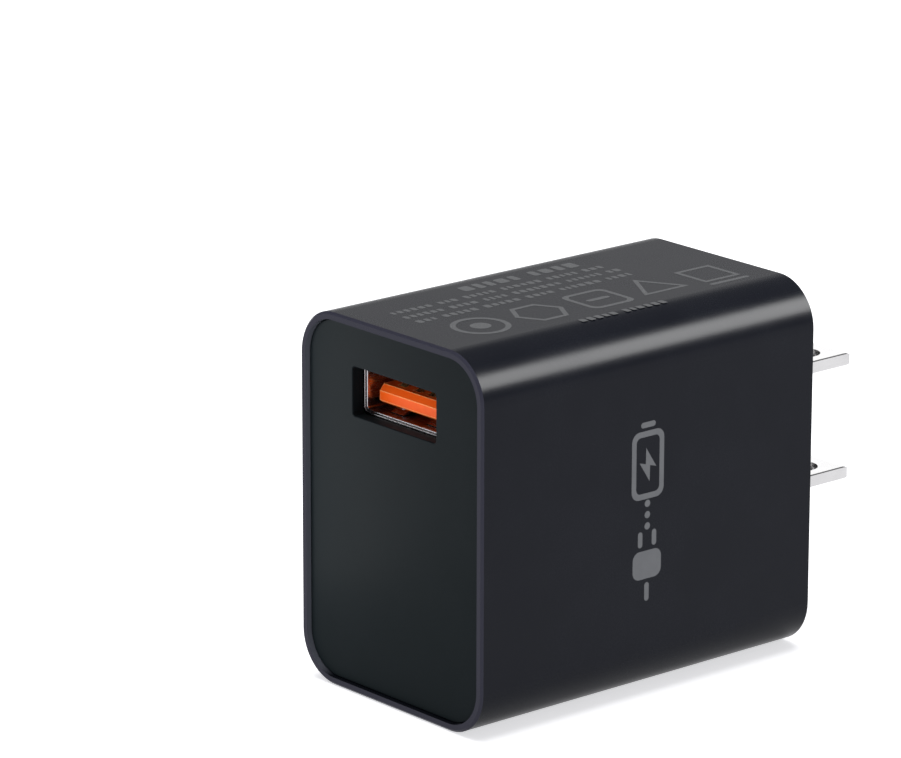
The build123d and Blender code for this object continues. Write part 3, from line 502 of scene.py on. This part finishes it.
# The label's rows and shapes, in millimetres from the USB face and from the top's middle line.
TITLE = {"start": 15.6, "end": 33.0, "across": 7.2, "height": 1.9}
SPEC_ROWS = [{"start": 4.2, "end": 33.5, "across": across, "height": 1.05}
             for across in (4.7, 2.7, 0.7)]
FOOT = {"start": 17.0, "end": 29.0, "across": -9.5, "height": 1.1}
SHAPE_ROW = -4.4
RING_AT, HEXAGON_AT, SQUARE_AT, TRIANGLE_AT, BOX_AT = 8.2, 16.0, 24.0, 31.6, 39.2


def label_print(ink):
    """Plain rows and shapes on the top face, across it from the USB face to the blades."""
    dice = random.Random(7)
    outlines = []
    for row in (TITLE, *SPEC_ROWS, FOOT):
        outlines += dashes(**row, dice=dice)
    outlines += nested(lambda r: regular(RING_AT, SHAPE_ROW, r, 48), size=3.1, line=0.6)
    outlines += [regular(RING_AT, SHAPE_ROW, 1.1, 32)]
    outlines += nested(lambda r: regular(HEXAGON_AT, SHAPE_ROW, r, 6), size=3.2, line=0.6)
    outlines += nested(lambda r: rounded(SQUARE_AT, SHAPE_ROW, 2 * r, 2 * r, r * 0.35),
                       size=2.9, line=0.55)
    outlines += [capsule(SQUARE_AT, SHAPE_ROW, 3.0, 0.7)]
    outlines += nested(lambda r: regular(TRIANGLE_AT, SHAPE_ROW - 0.4, r, 3, math.pi / 2),
                       size=3.6, line=0.95)
    outlines += nested(lambda r: regular(BOX_AT, SHAPE_ROW, r, 4, math.pi / 4), size=3.5, line=0.7)
    outlines += [capsule(BOX_AT, SHAPE_ROW - 3.4, 5.4, 0.6)]
    origin = Vector((0, FRONT_Y, TOP_Z))
    return print_mark("top_label", outlines, origin, Vector((0, 1, 0)), Vector((-1, 0, 0)), ink)


# ------------------------------------------------------------------ floor and light
FLOOR_SIZE = 12
FLOOR_DROP = 0.02 * MM
FLOOR_GLOW = 0.66


def make_floor():
    """A pale floor that glows a little, which keeps the shadows faint."""
    bpy.ops.mesh.primitive_plane_add(size=FLOOR_SIZE, location=(0, 0, -FLOOR_DROP))
    floor = bpy.context.object
    floor.name = "floor"
    paint = surface("floor_pale", (0.92, 0.92, 0.93), (0.90, 0.90, 0.91), (0.42, 0.5),
                    specular=0.2, mottle=60.0, grain=2.0, depth=0.001)
    paint.put("Emission Color", rgba(0.98, 0.98, 1.0))
    paint.put("Emission Strength", FLOOR_GLOW)
    floor.data.materials.append(paint.material)


def area_light(name, place, target, width, height, radiance):
    """A soft box with that radiance, aimed at a point, unseen by the camera."""
    data = bpy.data.lights.new(name, "AREA")
    data.shape = "RECTANGLE"
    data.size, data.size_y = width, height
    data.energy = radiance * math.pi * width * height
    light = bpy.data.objects.new(name, data)
    bpy.context.scene.collection.objects.link(light)
    light.location = place
    light.rotation_mode = "QUATERNION"
    light.rotation_quaternion = (target - place).to_track_quat("-Z", "Y")
    light.visible_camera = False
    return light


AMBIENT = 0.25
CEILING_IRRADIANCE = 2.5
CEILING_SPREAD = math.radians(48)
CEILING_TILT = math.radians(-6)
MIDDLE = Vector((0, MID_Y, MID_Z))


def middle_of(*nodes):
    corners = [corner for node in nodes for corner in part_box(node)]
    return Vector([(min(c[axis] for c in corners) + max(c[axis] for c in corners)) / 2
                   for axis in range(3)])


def only_on(light, *pieces):
    """Keeps a light to some CAD nodes, by name, and some objects."""
    lit = bpy.data.collections.new(light.name + "_receivers")
    for piece in pieces:
        lit.objects.link(frame["nodes"][piece] if isinstance(piece, str) else piece)
    light.light_linking.receiver_collection = lit


def card(name, target, azimuth, elevation, distance, width, height, radiance, lit):
    """A soft box at a distance in metres and angles in degrees, which lights some pieces."""
    towards = direction(math.radians(azimuth), math.radians(elevation))
    only_on(area_light(name, target + towards * distance, target, width, height, radiance), *lit)


def light_ceiling():
    ceiling = bpy.data.lights.new("ceiling", "SUN")
    ceiling.energy = CEILING_IRRADIANCE
    ceiling.angle = CEILING_SPREAD
    sun = bpy.data.objects.new("ceiling", ceiling)
    bpy.context.scene.collection.objects.link(sun)
    sun.rotation_euler = (CEILING_TILT, CEILING_TILT, 0)


def light_housing(side_mark, top_mark):
    """The long highlight on the side's upper edge, the top's tone, the rim and its step."""
    card("edge_strip", MIDDLE, azimuth=139, elevation=31, distance=0.55, width=0.34,
         height=0.205, radiance=33.0, lit=("housing_sleeve", side_mark))
    card("back_card", MIDDLE, azimuth=-132, elevation=15, distance=0.40, width=0.34,
         height=0.20, radiance=0.43, lit=("housing_sleeve", top_mark))
    card("front_fill", USB_FACE, azimuth=-12, elevation=18, distance=0.40, width=0.30,
         height=0.18, radiance=5.0, lit=("housing_sleeve", "front_panel"))
    card("step_light", USB_FACE, azimuth=60, elevation=48, distance=0.30, width=0.12,
         height=0.10, radiance=11.0, lit=("housing_sleeve",))


def light_port():
    """The tongue from just outside the port, and the shell's lip from the left."""
    nose = middle_of("usb_insulator")
    nose.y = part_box("usb_insulator")[0].y
    in_front = nose + Vector((-1, -10, -0.6)) * MM
    port_fill = area_light("port_fill", in_front, nose, width=0.006, height=0.004, radiance=8.2)
    only_on(port_fill, "usb_insulator")
    card("shell_fill", nose, azimuth=-54, elevation=2, distance=0.30, width=0.14,
         height=0.10, radiance=2.6, lit=("usb_shell", "usb_fingers_upper", "usb_fingers_lower"))


def light_panel():
    """A glow close to the panel's left part, which no piece shades."""
    beside = USB_FACE + Vector((-22, -11, 5)) * MM
    left_part = USB_FACE + Vector((-10, 0, 5)) * MM
    glow = area_light("panel_glow", beside, left_part, width=0.008, height=0.040, radiance=4.8)
    glow.light_linking.blocker_collection = bpy.data.collections.new("panel_glow_blockers")
    only_on(glow, "front_panel")


def light_blades():
    """A card that the blades' broad faces mirror towards the camera."""
    blades = middle_of("blade_upper", "blade_lower")
    above_behind = blades + Vector((-0.73, 0.62, 0.28)) * 0.15
    blade_card = area_light("blade_card", above_behind, blades, width=0.15, height=0.10,
                            radiance=1.55)
    only_on(blade_card, "blade_upper", "blade_lower")


def make_lights(side_mark, top_mark):
    light_ceiling()
    light_housing(side_mark, top_mark)
    light_port()
    light_panel()
    light_blades()


def make_world():
    """Dim pale light all round, and plain white where the camera sees past the floor."""
    world = bpy.data.worlds.new("studio")
    bpy.context.scene.world = world
    world.use_nodes = True
    tree = world.node_tree
    tree.nodes.clear()
    seen = tree.nodes.new("ShaderNodeLightPath")
    plain = tree.nodes.new("ShaderNodeBackground")
    plain.inputs["Color"].default_value = (0.96, 0.97, 1.0, 1)
    plain.inputs["Strength"].default_value = AMBIENT
    white = tree.nodes.new("ShaderNodeBackground")
    white.inputs["Strength"].default_value = 1.0
    pick = tree.nodes.new("ShaderNodeMixShader")
    output = tree.nodes.new("ShaderNodeOutputWorld")
    tree.links.new(seen.outputs["Is Camera Ray"], pick.inputs[0])
    tree.links.new(plain.outputs[0], pick.inputs[1])
    tree.links.new(white.outputs[0], pick.inputs[2])
    tree.links.new(pick.outputs[0], output.inputs[0])


# ------------------------------------------------------------------ the scene
make_camera()
paint_nodes()
make_floor()
make_lights(side_print(side_ink()), label_print(label_ink()))
make_world()
bpy.context.scene.view_settings.view_transform = "Standard"
